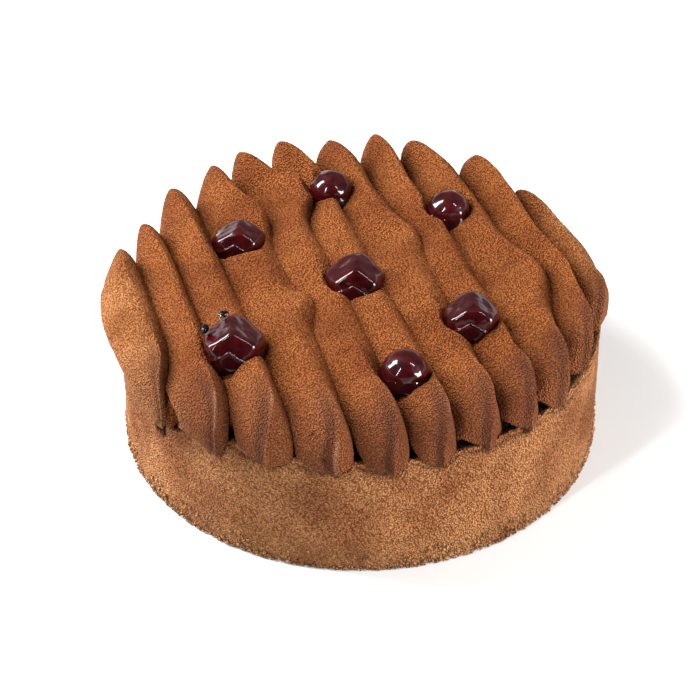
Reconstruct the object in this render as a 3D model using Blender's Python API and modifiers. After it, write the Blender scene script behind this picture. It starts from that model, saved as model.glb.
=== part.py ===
"""Black forest cake: a round cocoa-dusted cake under eleven piped ridges of cream, with seven cherries.

The constants are in millimetres and the mesh is in metres. The origin is the centre of the flat underside
and +Z is up. The ridges run along Y: each starts as a round bulb that hangs over the front rim (-Y) and
ends as a lifted point over the back rim (+Y). A cross-section of a ridge is a keel with rounded flanks,
and neighbouring ridges meet in a shared valley line, with a fine gap between them.
"""
import math

import bmesh
import bpy

MM = 0.001

# The cake under the cream.
BODY_RADIUS = 101.3
BODY_HEIGHT = 55.0
FOOT_ROUNDING = 1.5
BODY_SIDES = 72

# The cream ridges.
GAP = 0.3
VALLEY = 65.0
VALLEY_AT_ENDS = 62.5
RIDGE_FLOOR = 54.3
KEEL_POWER = 2.1
END_POWER = 2.8
CREST_LEAN = 2.2
BULB_LEAN = 2.3
STATION_STEP = 8.5
SIDE_POINTS = 4

# The bulb over the front rim: how far it reaches forward and under, and how square its outline is.
BULB_REACH = 22.0
BULB_RECESSES = (8.5, 6.0)
BULB_SQUARENESS = 2.6
BULB_TURN = math.radians(125.0)
BULB_STEPS = 5

# The lifted point over the back rim.
POINT_REACH = 20.0
POINT_RECESS = 10.0
POINT_SQUARENESS = 3.2
POINT_TURN = math.radians(110.0)
POINT_STEPS = 5

# Valley lines between the ridges, from left to right: where each lies across the cake, and the places
# where it sways, each as (place along Y, shift along X, spread along Y).
VALLEYS = [
    (-86.0, [(-45.0, -7.0, 18.0)]),
    (-71.0, [(-85.0, -6.0, 22.0)]),
    (-53.0, [(95.0, 2.0, 20.0)]),
    (-30.0, [(50.0, 4.0, 16.0), (-14.0, 6.0, 12.0), (-80.0, -2.0, 25.0), (98.0, -3.0, 14.0)]),
    (-10.5, [(64.0, 8.0, 14.0), (104.0, -2.0, 14.0)]),
    (7.0, [(-5.0, -3.0, 14.0), (-80.0, 2.0, 30.0)]),
    (28.5, [(20.0, 4.0, 14.0), (62.0, -2.0, 12.0)]),
    (46.0, [(60.0, -2.0, 16.0)]),
    (68.0, [(-18.0, 8.0, 20.0), (-75.0, -3.0, 20.0)]),
    (85.0, [(75.0, 3.0, 18.0), (-62.0, -5.0, 18.0)]),
]

# Each ridge: height of its crest, its two ends along Y, how far the bulb hangs and the point rises, how
# far the point leans along X, and the places where the crest sways from the middle line.
RIDGES = [
    dict(crest=75.0, front=-50.0, back=48.0, drop=3.0, lift=5.0, tip=-3.0, sways=[(-49.0, -6.0, 14.0)]),
    dict(crest=76.0, front=-68.0, back=64.5, drop=11.0, lift=3.5, tip=-4.0, sways=[(-66.0, -3.0, 16.0)]),
    dict(crest=77.5, front=-82.0, back=84.0, drop=7.0, lift=5.0, tip=-4.0, sways=[]),
    dict(crest=78.0, front=-96.0, back=96.5, drop=6.0, lift=5.0, tip=-2.0,
         sways=[(50.0, 7.0, 14.0), (23.0, -5.0, 9.0), (-13.0, 7.0, 10.0)]),
    dict(crest=78.0, front=-102.0, back=103.5, drop=6.0, lift=5.5, tip=-7.0, sways=[(62.0, 9.0, 13.0)]),
    dict(crest=78.0, front=-103.0, back=105.5, drop=5.0, lift=6.5, tip=-8.0, sways=[]),
    dict(crest=78.0, front=-100.0, back=102.5, drop=5.0, lift=5.0, tip=-6.0, sways=[(19.0, 6.0, 12.0)]),
    dict(crest=78.0, front=-95.0, back=100.5, drop=5.0, lift=5.5, tip=-4.5, sways=[]),
    dict(crest=78.0, front=-84.0, back=91.0, drop=4.0, lift=5.5, tip=-9.5, sways=[(-19.0, 6.0, 14.0)]),
    dict(crest=77.0, front=-66.0, back=72.0, drop=3.0, lift=5.5, tip=-6.0, sways=[]),
    dict(crest=72.5, front=-42.0, back=50.0, drop=3.0, lift=1.5, tip=-2.0, sways=[(-10.0, -3.5, 30.0)]),
]
LEFT_OVERHANG = (108.0, [(-38.0, 2.0, 14.0)])
RIGHT_OVERHANG = (101.0, [(-30.0, 3.0, 9.0)])

# Cherries with their glaze: centre, and half the width, depth and height.
CHERRY_COLUMNS = 12
CHERRY_ROWS = 8
CHERRIES = [
    ((5.5, 61.5, 76.2), (10.3, 9.8, 9.2)),
    ((49.7, 31.5, 76.0), (10.0, 9.6, 8.8)),
    ((-43.3, 35.0, 75.5), (12.3, 10.5, 8.3)),
    ((-4.7, -7.3, 76.0), (13.2, 13.0, 9.6)),
    ((32.2, -46.5, 76.0), (12.6, 12.4, 9.6)),
    ((-63.8, -35.2, 75.5), (13.8, 14.2, 10.8)),
    ((-3.9, -71.0, 75.5), (12.2, 10.8, 8.8)),
]

# The cream pressed down round a cherry: its height at the cherry's edge, and its rise away from there.
PRESSED_HEIGHT = 71.5
PRESSED_RISE = 0.7


def bump(y, place, height, spread):
    """A smooth hump of the given height, centred on place."""
    return height * math.exp(-((y - place) / spread) ** 2)


def sway(y, sways):
    """The sum of the humps in sways at y."""
    return sum(bump(y, *one) for one in sways)


def valley_x(index, y):
    """Valley line number index at y; the first and the last are the overhanging outer edges."""
    if index in (0, len(RIDGES)):
        radius, swells = RIGHT_OVERHANG if index else LEFT_OVERHANG
        radius += sway(y, swells)
        return math.copysign(math.sqrt(max(radius ** 2 - y * y, 1.0)), index - 1)
    base, sways = VALLEYS[index - 1]
    return base + sway(y, sways)


def rounded(value, squareness):
    """Cosine or sine of a superellipse of the given squareness, from the plain one."""
    return math.copysign(abs(value) ** (2.0 / squareness), value)


def lateral_places():
    """Places across a ridge from -1 to 1, closest together at the crest."""
    half = [(k / SIDE_POINTS) ** 1.25 for k in range(SIDE_POINTS + 1)]
    return [-t for t in reversed(half[1:])] + half


def end_station(angle, foot_y, sense, reach, recesses, squareness, rise, hollow, drop):
    """A station of an end that turns over the rim, at an angle from straight up."""
    out = sense * rounded(math.sin(angle), squareness)
    up = rounded(math.cos(angle), squareness)
    lift, under = (rise, hollow) if up > 0.0 else (drop, 1.0)
    valley_ys = [foot_y + (reach - recess) * out for recess in recesses]
    return (foot_y, foot_y + reach * out, RIDGE_FLOOR + lift * up, valley_ys, RIDGE_FLOOR + under * up)


def shared_places(front, back):
    """Places along Y that all ridges share, so that neighbours have the same valley points."""
    first = math.ceil((front + 0.4 * STATION_STEP) / STATION_STEP)
    last = math.floor((back - 0.4 * STATION_STEP) / STATION_STEP)
    return [STATION_STEP * k for k in range(first, last + 1)]


def section_stations(ridge):
    """The stations along a ridge: foot y, crest y and z, left and right valley y, valley z, width share."""
    front = ridge["front"] + BULB_REACH
    back = ridge["back"] - POINT_REACH
    rise = ridge["crest"] - RIDGE_FLOOR
    hollow = VALLEY_AT_ENDS - RIDGE_FLOOR
    stations = []
    for k in range(BULB_STEPS, 0, -1):
        angle = BULB_TURN * k / BULB_STEPS
        place = end_station(angle, front, -1.0, BULB_REACH, BULB_RECESSES, BULB_SQUARENESS,
                            rise, hollow, ridge["drop"])
        stations.append(place + (1.0 - 0.15 * (k / BULB_STEPS) ** 2,))
    for y in [front] + shared_places(front, back) + [back]:
        along = (y - front) / (back - front)
        arch = max(0.0, math.sin(math.pi * along)) ** 0.5
        lift = ridge["lift"] * along ** 4
        stations.append((y, y, ridge["crest"] + lift, (y, y),
                         VALLEY_AT_ENDS + (VALLEY - VALLEY_AT_ENDS) * arch, 1.0))
    for k in range(1, POINT_STEPS + 1):
        angle = POINT_TURN * k / POINT_STEPS
        place = end_station(angle, back, 1.0, POINT_REACH, (POINT_RECESS, POINT_RECESS), POINT_SQUARENESS,
                            rise + ridge["lift"], hollow, 1.0)
        stations.append(place + (1.0,))
    return stations


def rim_slope(index, y):
    """Slope of the rim in plan where a ridge ends, so that the bulbs follow the round edge."""
    middle = 0.5 * (valley_x(index, y) + valley_x(index + 1, y))
    return max(-0.8, min(0.8, -middle / y))


def pressed(x, y, z):
    """Height z of the cream at a place, no higher than a cherry near it leaves it."""
    for centre, halves in CHERRIES:
        beyond = math.hypot(x - centre[0], y - centre[1]) - halves[0]
        z = min(z, PRESSED_HEIGHT + PRESSED_RISE * max(0.0, beyond))
    return z


def ridge_point(index, ridge, t, y, z, share, slope):
    """A point at lateral place t of the section at y, sheared along the rim near the ends."""
    left, right = valley_x(index, y), valley_x(index + 1, y)
    y_here = y + slope * t * 0.5 * (right - left)
    left, right = valley_x(index, y_here), valley_x(index + 1, y_here)
    half = 0.5 * (right - left) * share - 0.5 * GAP
    lean = (CREST_LEAN + sway(y_here, ridge["sways"]) + bump(y_here, ridge["back"], ridge["tip"], 22.0)
            + bump(y_here, ridge["front"], BULB_LEAN, 30.0))
    x = 0.5 * (left + right) + half * t + lean * (1.0 - abs(t))
    return (x, y_here, pressed(x, y_here, z))


def end_slope(index, ridge, y):
    """The shear of the section at y: that of the rim at the two ends, fading to none between them."""
    front = ridge["front"] + BULB_REACH
    back = ridge["back"] - POINT_REACH
    near_front = max(0.0, min(1.0, 1.0 - (y - front) / 30.0))
    near_back = max(0.0, min(1.0, 1.0 - (back - y) / 30.0))
    return (rim_slope(index, ridge["front"]) * near_front
            + rim_slope(index, ridge["back"]) * near_back)


def ridge_rows(index, ridge):
    """The rows of surface points of a ridge, one for each station, from the front end to the back."""
    places = lateral_places()
    rows = []
    for foot_y, crest_y, crest_z, valley_ys, valley_z, share in section_stations(ridge):
        slope = end_slope(index, ridge, foot_y)
        rows.append([ridge_point(index, ridge, t,
                                 crest_y + (valley_ys[t > 0.0] - crest_y) * abs(t) ** END_POWER,
                                 crest_z + (valley_z - crest_z) * abs(t) ** KEEL_POWER,
                                 share, slope) for t in places])
    return rows


def ridge_feet(index, ridge):
    """The two lower corners of each station, which the stations of a turned end share."""
    feet = []
    for station in section_stations(ridge):
        slope = end_slope(index, ridge, station[0])
        feet.append([ridge_point(index, ridge, side, station[0], RIDGE_FLOOR, 1.0, slope)
                     for side in (-1.0, 1.0)])
    return feet


def ridge_mesh(index, ridge):
    """Vertices and faces of one ridge, lofted through its stations."""
    verts, faces, rows, feet = [], [], [], []
    for row, foot in zip(ridge_rows(index, ridge), ridge_feet(index, ridge)):
        if feet and foot[0] == verts[feet[-1][0]]:
            feet.append(feet[-1])
        else:
            feet.append((len(verts), len(verts) + 1))
            verts += foot
        rows.append([len(verts) + j for j in range(len(row))])
        verts += row
    for a in range(len(rows) - 1):
        for j in range(len(rows[a]) - 1):
            faces.append((rows[a][j], rows[a][j + 1], rows[a + 1][j + 1], rows[a + 1][j]))
        left_a, right_a = feet[a]
        left_b, right_b = feet[a + 1]
        faces.append(unique(left_a, rows[a][0], rows[a + 1][0], left_b))
        faces.append(unique(rows[a][-1], right_a, right_b, rows[a + 1][-1]))
        if left_a != left_b:
            faces.append((right_a, left_a, left_b, right_b))
    faces.append([feet[0][0], feet[0][1]] + list(reversed(rows[0])))
    faces.append([feet[-1][1], feet[-1][0]] + rows[-1])
    return verts, faces


def unique(*indices):
    """The indices of a face without repeats, keeping their order."""
    kept = []
    for one in indices:
        if one not in kept:
            kept.append(one)
    return kept


def make_material(name, hex_colour, roughness):
    """A Principled material of one colour."""
    material = bpy.data.materials.new(name)
    material.use_nodes = True
    shader = material.node_tree.nodes["Principled BSDF"]
    red, green, blue = (int(hex_colour[k:k + 2], 16) / 255.0 for k in (0, 2, 4))
    shader.inputs["Base Color"].default_value = (red ** 2.2, green ** 2.2, blue ** 2.2, 1.0)
    shader.inputs["Roughness"].default_value = roughness
    material.diffuse_color = (red ** 2.2, green ** 2.2, blue ** 2.2, 1.0)
    return material


def add_object(name, mesh, collection, material=None):
    """Link a mesh into a collection under a name."""
    thing = bpy.data.objects.new(name, mesh)
    collection.objects.link(thing)
    if material:
        mesh.materials.append(material)
    return thing


def mesh_from_bmesh(name, shape):
    """Turn a bmesh into a mesh with outward faces."""
    bmesh.ops.recalc_face_normals(shape, faces=shape.faces)
    mesh = bpy.data.meshes.new(name)
    shape.to_mesh(mesh)
    shape.free()
    mesh.shade_smooth()
    return mesh


def cylinder_mesh(name, radius, low, high):
    """An upright closed cylinder between two heights."""
    shape = bmesh.new()
    bmesh.ops.create_cone(shape, cap_ends=True, segments=BODY_SIDES, radius1=radius * MM,
                          radius2=radius * MM, depth=(high - low) * MM)
    bmesh.ops.translate(shape, verts=shape.verts, vec=(0.0, 0.0, 0.5 * (high + low) * MM))
    return mesh_from_bmesh(name, shape)


def ellipsoid_mesh(name, centre, halves, margin):
    """A sphere stretched to three half sizes, each larger by margin, about its centre."""
    shape = bmesh.new()
    bmesh.ops.create_uvsphere(shape, u_segments=CHERRY_COLUMNS, v_segments=CHERRY_ROWS, radius=1.0)
    for vert in shape.verts:
        for axis in range(3):
            vert.co[axis] = (centre[axis] + vert.co[axis] * (halves[axis] + margin)) * MM
    return mesh_from_bmesh(name, shape)


def add_cut(thing, cutter):
    """Cut thing with cutter."""
    cut = thing.modifiers.new("cut_" + cutter.name, "BOOLEAN")
    cut.operation = "DIFFERENCE"
    cut.solver = "EXACT"
    cut.object = cutter


def add_body(collection, material):
    """The cake itself, with a softened lower edge."""
    body = add_object("cake_body", cylinder_mesh("cake_body", BODY_RADIUS, 0.0, BODY_HEIGHT),
                      collection, material)
    edge = body.modifiers.new("foot_rounding", "BEVEL")
    edge.width = FOOT_ROUNDING * MM
    edge.segments = 1
    edge.limit_method = "ANGLE"
    return body


def add_ridge(index, ridge, collection, material):
    """One piped ridge."""
    verts, faces = ridge_mesh(index, ridge)
    shape = bmesh.new()
    made = [shape.verts.new([c * MM for c in vert]) for vert in verts]
    for face in faces:
        shape.faces.new([made[k] for k in face])
    bmesh.ops.triangulate(shape, faces=[f for f in shape.faces if len(f.verts) > 4])
    name = "ridge_%02d" % (index + 1)
    return add_object(name, mesh_from_bmesh(name, shape), collection, material)


def hide_cutter(thing):
    """Mark an object as a cutter."""
    thing.hide_render = True
    thing.display_type = "WIRE"


def near(ridge_object, centre, halves):
    """Whether a cherry's box meets a ridge's box."""
    xs = [vert.co.x / MM for vert in ridge_object.data.vertices]
    return min(xs) - 1.0 < centre[0] + halves[0] and max(xs) + 1.0 > centre[0] - halves[0]


def build():
    """Make the whole cake."""
    for thing in list(bpy.data.objects):
        bpy.data.objects.remove(thing)
    parts = bpy.data.collections.new("black_forest_cake")
    cutters = bpy.data.collections.new("cutters")
    bpy.context.scene.collection.children.link(parts)
    bpy.context.scene.collection.children.link(cutters)
    cocoa = make_material("cocoa_crumb_coat", "9a6038", 0.9)
    cream = make_material("cocoa_velvet_cream", "93552e", 0.85)
    cherry = make_material("glazed_cherry", "2b060b", 0.1)

    add_body(parts, cocoa)
    seat = add_object("cutter_seat", cylinder_mesh("cutter_seat", BODY_RADIUS + GAP, -10.0,
                                                   BODY_HEIGHT + GAP), cutters)
    hide_cutter(seat)
    ridges = [add_ridge(index, ridge, parts, cream) for index, ridge in enumerate(RIDGES)]
    for thing in ridges:
        add_cut(thing, seat)
    for number, (centre, halves) in enumerate(CHERRIES, start=1):
        name = "cherry_%d" % number
        add_object(name, ellipsoid_mesh(name, centre, halves, 0.0), parts, cherry)
        pocket = add_object("cutter_pocket_%d" % number,
                            ellipsoid_mesh("cutter_pocket_%d" % number, centre, halves, GAP),
                            cutters)
        hide_cutter(pocket)
        for thing in ridges:
            if near(thing, centre, halves):
                add_cut(thing, pocket)


build()
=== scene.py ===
"""Black forest cake: piped chocolate cream under a cocoa velvet spray, glazed cherries and a crumbed wall.

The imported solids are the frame. Every visible piece here is worked out with numpy as a grid surface in
millimetres, in the row frame: +Z up, the ridges along Y with their bulbs at -Y, the origin at the centre of
the underside. The wall and the cherries take their sizes from the solids' boxes, and the ridges follow the
valley lines of their solids.
"""
import math

import bpy
import numpy as np
from mathutils import Matrix, Vector


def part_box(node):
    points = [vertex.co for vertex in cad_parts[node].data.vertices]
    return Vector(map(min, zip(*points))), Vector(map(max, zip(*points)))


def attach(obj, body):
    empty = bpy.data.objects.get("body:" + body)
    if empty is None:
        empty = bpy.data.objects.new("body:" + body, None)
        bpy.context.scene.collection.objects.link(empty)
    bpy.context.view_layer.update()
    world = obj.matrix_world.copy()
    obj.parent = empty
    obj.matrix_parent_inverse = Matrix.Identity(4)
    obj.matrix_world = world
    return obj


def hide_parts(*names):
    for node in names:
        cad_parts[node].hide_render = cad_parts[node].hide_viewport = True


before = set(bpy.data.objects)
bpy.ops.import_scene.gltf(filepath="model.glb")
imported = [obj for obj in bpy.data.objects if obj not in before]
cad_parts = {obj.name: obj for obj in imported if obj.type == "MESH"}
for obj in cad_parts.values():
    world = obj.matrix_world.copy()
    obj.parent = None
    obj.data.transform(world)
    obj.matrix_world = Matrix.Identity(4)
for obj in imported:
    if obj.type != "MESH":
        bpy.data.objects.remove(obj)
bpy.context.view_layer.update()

MM = 0.001

# ---------------------------------------------------------------------------------------------------------
# Layout, in millimetres
# ---------------------------------------------------------------------------------------------------------

# The cake under the cream.
BODY_LOW, BODY_HIGH = (np.array(corner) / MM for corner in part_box("cake_body"))
BODY_RADIUS = 0.5 * (BODY_HIGH[0] - BODY_LOW[0])
BODY_HEIGHT = BODY_HIGH[2]
FOOT_ROUNDING = 2.0

# The cross-section of a ridge: heights of its valleys and foot, the powers of its left and right flank, on
# plain ridges, on the first few softer ones and at the bulbs, and how far its crest leans to the right.
VALLEY_AT_RIM = 66.0
VALLEY_RISE = 8.5
VALLEY_RISE_RADIUS = 97.0
RIDGE_FLOOR = 54.3
FLANK_POWERS = (1.25, 1.5)
SOFT_FLANK_POWERS = (1.6, 1.7)
SOFT_RIDGES = 3
BULB_FLANK_POWERS = (1.5, 1.3)
END_POWER = 2.8
CREST_LEAN = 2.8
BULB_LEAN = 3.4
CREASE_OVERLAP = 0.35

# The bulb over the front rim: how far it reaches, how square it is and how far it curls under.
BULB_REACH = 22.0
BULB_SQUARENESS = 2.5
BULB_TURN = math.radians(150.0)
BULB_BASE_REACH = 3.0

# How far a ridge's feet stand in from its edges, and where the first ridge's outer foot sags to.
FOOT_INSET = 3.0
SAG_RADIUS = 102.5
SAG_HEIGHT = 45.5
SKIRT_ROWS = 36

# The keel that the nozzle leaves down a bulb, with a raised streak on it and a groove to its left, and the
# lip round the bulb's lower edge. The streak and the lip carry a painted highlight, the groove painted shade.
# Places across a ridge run from -1 to 1.
KEEL_PLACE = 0.10
KEEL_WIDTH = 0.20
KEEL_HEIGHT = 1.7
STREAK_WIDTH = 0.06
STREAK_HEIGHT = 0.4
GROOVE_PLACE = -0.12
GROOVE_WIDTH = 0.16
GROOVE_DEPTH = 0.45
LIP_TURN = math.radians(122.0)
LIP_WIDTH = math.radians(7.0)
LIP_HEIGHT = 0.3

# The lifted point over the back rim.
POINT_REACH = 20.0
POINT_RECESS = 10.0
POINT_SQUARENESS = 3.2
POINT_TURN = math.radians(118.0)

# Valley lines from left to right: place across the cake, and humps as (place along Y, shift, spread).
VALLEYS = [
    (-86.0, [(-45.0, -7.0, 18.0)]),
    (-71.0, [(-85.0, -6.0, 22.0)]),
    (-53.0, [(95.0, 2.0, 20.0)]),
    (-30.0, [(50.0, 4.0, 16.0), (-14.0, 6.0, 12.0), (-80.0, -2.0, 25.0), (98.0, -3.0, 14.0)]),
    (-10.5, [(64.0, 8.0, 14.0), (104.0, -2.0, 14.0)]),
    (7.0, [(-5.0, -3.0, 14.0), (-80.0, 2.0, 30.0)]),
    (28.5, [(20.0, 4.0, 14.0), (62.0, -2.0, 12.0)]),
    (46.0, [(60.0, -2.0, 16.0)]),
    (68.0, [(-18.0, 8.0, 20.0), (-75.0, -3.0, 20.0)]),
    (85.0, [(75.0, 3.0, 18.0), (-62.0, -5.0, 18.0)]),
]
LEFT_OVERHANG = (108.0, [(-38.0, 2.0, 14.0)])
RIGHT_OVERHANG = (101.0, [(-30.0, 3.0, 9.0)])

# Each ridge from left to right: crest height, its ends along Y, how far the bulb hangs and narrows, how far
# its left and right edges lie behind its crest, the rise and lean of the point, and the crest's sways as
# (place along Y, shift, spread).
RIDGE_FIELDS = ("crest", "front", "back", "drop", "narrow", "recesses", "lift", "tip", "sways")
RIDGES = [dict(zip(RIDGE_FIELDS, row)) for row in [
    (75.0, -46.0, 48.0, 8.0, 0.36, (8.0, 6.0), 5.0, -3.0, [(-49.0, -6.0, 14.0)]),
    (76.0, -68.0, 64.5, 11.0, 0.22, (7.0, 6.0), 3.5, -4.0, [(-66.0, -3.0, 16.0)]),
    (77.5, -82.0, 84.0, 7.0, 0.2, (6.5, 5.5), 5.0, -4.0, []),
    (78.0, -96.0, 96.5, 6.0, 0.22, (6.5, 5.5), 5.0, -2.0,
     [(50.0, 7.0, 14.0), (23.0, -5.0, 9.0), (-13.0, 7.0, 10.0)]),
    (78.0, -102.0, 103.5, 6.0, 0.22, (6.5, 5.5), 5.5, -7.0, [(62.0, 9.0, 13.0)]),
    (78.0, -103.0, 105.5, 5.0, 0.12, (5.0, 5.0), 6.5, -8.0, []),
    (78.0, -100.0, 102.5, 3.0, 0.04, (3.0, 5.0), 5.0, -6.0, [(19.0, 6.0, 12.0)]),
    (78.0, -95.0, 100.5, 3.0, 0.04, (3.0, 4.5), 5.5, -4.5, []),
    (78.0, -84.0, 91.0, 2.5, 0.04, (3.0, 4.0), 5.5, -9.5, [(-19.0, 6.0, 14.0)]),
    (77.0, -66.0, 72.0, 3.0, 0.04, (5.0, 4.0), 5.5, -6.0, []),
    (72.5, -42.0, 50.0, 3.0, 0.04, (5.0, 5.0), 1.5, -2.0, [(-10.0, -3.5, 30.0)]),
]]

# The cream pressed down round a cherry: its height at the cherry's edge, and its rise away from there.
PRESSED_HEIGHT = 73.0
PRESSED_RISE = 1.4
PRESSED_SHARE = 0.74
PRESSED_BLEND = 1.2

# Hollows left by the bag and the fingers, as (x, y, half width across, half length along, depth).
HOLLOWS = [
    (-20.0, 77.0, 7.0, 9.0, 3.0),
    (-33.0, -5.0, 7.0, 7.0, 3.0),
    (17.0, 20.0, 8.0, 9.0, 3.5),
    (53.0, -11.0, 9.0, 10.0, 2.5),
    (55.0, 72.0, 6.0, 7.0, 2.0),
    (-26.0, -27.0, 6.0, 8.0, 2.0),
]

# Pockets under the left edges of the bulbs, darkened with painted shade, as (ridge, x, y, half width at the
# foot, inward shift, lift, height of the top).
POCKETS = [
    (2, -72.5, -66.5, 4.0, 6.0, 0.3, 64.0),
    (3, -56.5, -80.5, 7.0, 7.0, 0.3, 66.0),
    (4, -34.5, -92.0, 8.0, 8.0, 0.3, 66.0),
    (5, -12.0, -98.5, 6.0, 7.0, 0.3, 63.0),
    (6, 10.2, -98.9, 9.5, 5.0, 0.8, 59.5),
    (7, 29.6, -96.0, 10.5, 5.0, 1.0, 60.5),
    (8, 47.8, -88.4, 7.0, 5.0, 1.0, 60.5),
    (9, 68.5, -73.5, 4.4, 5.0, 1.0, 62.0),
]
POCKET_FOOT = 54.0

# Dips in the wall's top edge, as (degrees round from +X, half width in degrees, depth).
RIM_DIPS = [(205.0, 9.0, 9.0)]

# Torn bits along the wall's top edge, as (degrees round from +X, height, half length, half thickness).
TORN_SLIVERS = [
    (285.4, 55.6, 1.6, 0.6), (287.6, 55.9, 2.6, 0.5), (290.6, 55.6, 1.8, 0.45), (296.5, 55.7, 1.4, 0.6),
    (299.6, 55.8, 2.4, 0.45), (303.2, 55.6, 1.2, 0.5), (306.4, 55.7, 2.2, 0.45), (280.0, 55.2, 1.0, 0.5),
    (207.0, 45.6, 2.2, 0.6), (209.6, 45.4, 1.4, 0.5), (213.4, 43.6, 1.6, 0.9), (215.0, 43.8, 1.2, 0.8),
    (216.6, 44.6, 1.1, 0.7), (219.6, 53.4, 1.0, 0.6), (244.0, 54.8, 0.9, 0.5), (269.0, 54.8, 0.9, 0.5),
]

# The knob of cream that bulges out in the dip.
KNOB_CENTRE = (-91.8, -41.8, 54.0)
KNOB_HALVES = (3.8, 4.4, 8.6)
KNOB_TURN = 0.4

# Open pores in the cream, as (x, y, z, radius, depth), and how much painted shade darkens them.
PORES = [
    (-45.0, -87.0, 66.0, 0.8, 0.7),
    (-42.0, -89.0, 58.0, 1.0, 0.9),
    (15.0, -84.0, 72.0, 0.8, 0.6),
    (-99.0, 29.0, 66.0, 1.3, 1.6),
    (-101.0, 20.0, 62.0, 1.2, 1.6),
    (-99.0, -7.0, 64.0, 1.4, 1.7),
]
PORE_SHADE = 0.55

# Spacing of the grid points on the cream and on the wall, the length round a ridge's upper side, and the
# pits that both carry.
CREAM_STEP = 0.46
WALL_STEP = 0.655
RIDGE_GIRTH = 36.0
PIT_SPACING = 1.25
PIT_RADIUS = 0.34
PIT_DEPTH = 0.40

# How far out to the left and right the cream's colour turns paler tan, and where it is palest: painted light
# on the sides.
SIDE_LIGHT_FROM = 80.0
SIDE_LIGHT_FULL = 106.0

# How many of the spray's 0.8 mm droplets and of the wall's 0.85 mm crumbs lie along a metre, and the depth
# between them. Real droplets are finer, and these are as coarse as they need to be to show.
DROPLETS_PER_METRE = 1250.0
DROPLET_RELIEF = 1.8
CRUMBS_PER_METRE = 1180.0
CRUMB_RELIEF = 1.9

# A hole torn in the wall, as (degrees round from +X, height, half width, half height, depth), and the
# seam below the bulbs: how far under their edge it runs, its half width and its depth. Painted shade darkens
# both.
TORN_HOLE = (200.3, 42.0, 3.8, 4.6, 2.4)
SEAM_BELOW = 0.8
SEAM_WIDTH = 1.0
SEAM_DEPTH = 0.7

# Loose crumbs at the foot: how many, and the range of their half sizes.
FOOT_CRUMBS = 2200
FOOT_CRUMB_SIZES = (0.35, 0.95)

# Cherries, each inside the box of its solid: plain round ones, and ones whose glaze has set in planes.
ROUND_CHERRIES = (1, 2, 7)
CREASED_CHERRIES = (3, 4, 5, 6)
GLAZE_PLANES = [
    (0.00, 0.90, 0.42, 0.86), (-0.62, -0.05, 0.78, 0.80), (0.62, -0.05, 0.78, 0.82),
    (-0.95, 0.30, 0.05, 0.88), (0.95, 0.30, 0.05, 0.88), (0.00, -0.95, 0.30, 0.90),
    (-0.75, -0.60, 0.20, 0.90), (0.75, -0.60, 0.20, 0.90), (-0.60, 0.75, -0.25, 0.92),
    (0.60, 0.75, -0.25, 0.92), (0.00, 0.80, -0.60, 0.98), (0.00, 0.00, -1.00, 0.95),
]

# The camera's place and the point it looks at. FORWARD leads from the cake towards it along the floor, and
# RIGHTWARD to its right.
CAMERA_PLACE = (-205.1, -655.7, 551.3)
CAMERA_AIM = (8.8, 43.84, 0.0)
CAMERA_LENS = 103.3
CAMERA_SENSOR = 36.0
FORWARD = np.array([-0.292, -0.956, 0.0])
RIGHTWARD = np.array([0.956, -0.292, 0.0])

# Lights, as (name, place, aim, width, height, power in watts): a tall soft one at the left that makes the
# ridges' relief, a lower one at the right, and two narrow strips for the lines of light on the cherries.
LIGHTS = [
    ("left_lamp", (-640.0, 400.0, 660.0), (0.0, 0.0, 40.0), 300.0, 900.0, 37.0),
    ("right_lamp", (650.0, -560.0, 230.0), (0.0, 0.0, 40.0), 360.0, 360.0, 15.5),
    ("left_strip", (-600.0, -420.0, 640.0), (0.0, 0.0, 60.0), 24.0, 520.0, 5.0),
    ("right_strip", (420.0, -420.0, 860.0), (0.0, 0.0, 60.0), 24.0, 520.0, 4.4),
]

# The floor, a disc with this many corners.
FLOOR_RADIUS = 720.0
FLOOR_CORNERS = 96


# ---------------------------------------------------------------------------------------------------------
# Noise on a lattice
# ---------------------------------------------------------------------------------------------------------

def hashed(cells, seed):
    """A repeatable value from 0 to 1 for each whole-number lattice cell: its numbers times primes, mixed."""
    key = cells[..., 0] * 73856093 ^ cells[..., 1] * 19349663 ^ cells[..., 2] * 83492791 ^ seed * 26544357
    key = key.astype(np.uint64) & np.uint64(0xFFFFFFFF)
    key = (key ^ (key >> np.uint64(15))) * np.uint64(2246822519) & np.uint64(0xFFFFFFFF)
    key = (key ^ (key >> np.uint64(13))) * np.uint64(3266489917) & np.uint64(0xFFFFFFFF)
    key = key ^ (key >> np.uint64(16))
    return (key & np.uint64(0xFFFFFF)).astype(float) / float(0xFFFFFF)


def soft_noise(points, spacing, seed):
    """Noise from -1 to 1: hashed values at the eight lattice corners round a point, blended by 3t2 - 2t3."""
    scaled = points / spacing
    low = np.floor(scaled).astype(np.int64)
    part = scaled - low
    part = part * part * (3.0 - 2.0 * part)
    total = np.zeros(points.shape[:-1])
    for corner in np.ndindex(2, 2, 2):
        weight = np.prod(np.where(np.array(corner) == 1, part, 1.0 - part), axis=-1)
        total += weight * hashed(low + np.array(corner), seed)
    return 2.0 * total - 1.0


def nearest_seed(points, spacing, seed):
    """Distance, in cells, from each point to the nearest of one hashed place in every lattice cell."""
    scaled = points / spacing
    low = np.floor(scaled).astype(np.int64)
    nearest = np.full(points.shape[:-1], 9.0)
    for shift in np.ndindex(3, 3, 3):
        cell = low + np.array(shift) - 1
        seeds = np.stack([hashed(cell, seed + k) for k in range(3)], axis=-1)
        nearest = np.minimum(nearest, np.sum((cell + seeds - scaled) ** 2, axis=-1))
    return np.sqrt(nearest)


def pits(points, spacing, seed):
    """Pits from 0 to 1, at most one in a cell: exp(-(distance / PIT_RADIUS)2) to the nearest seed."""
    return np.exp(-(nearest_seed(points, spacing, seed) / PIT_RADIUS) ** 2)


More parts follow.
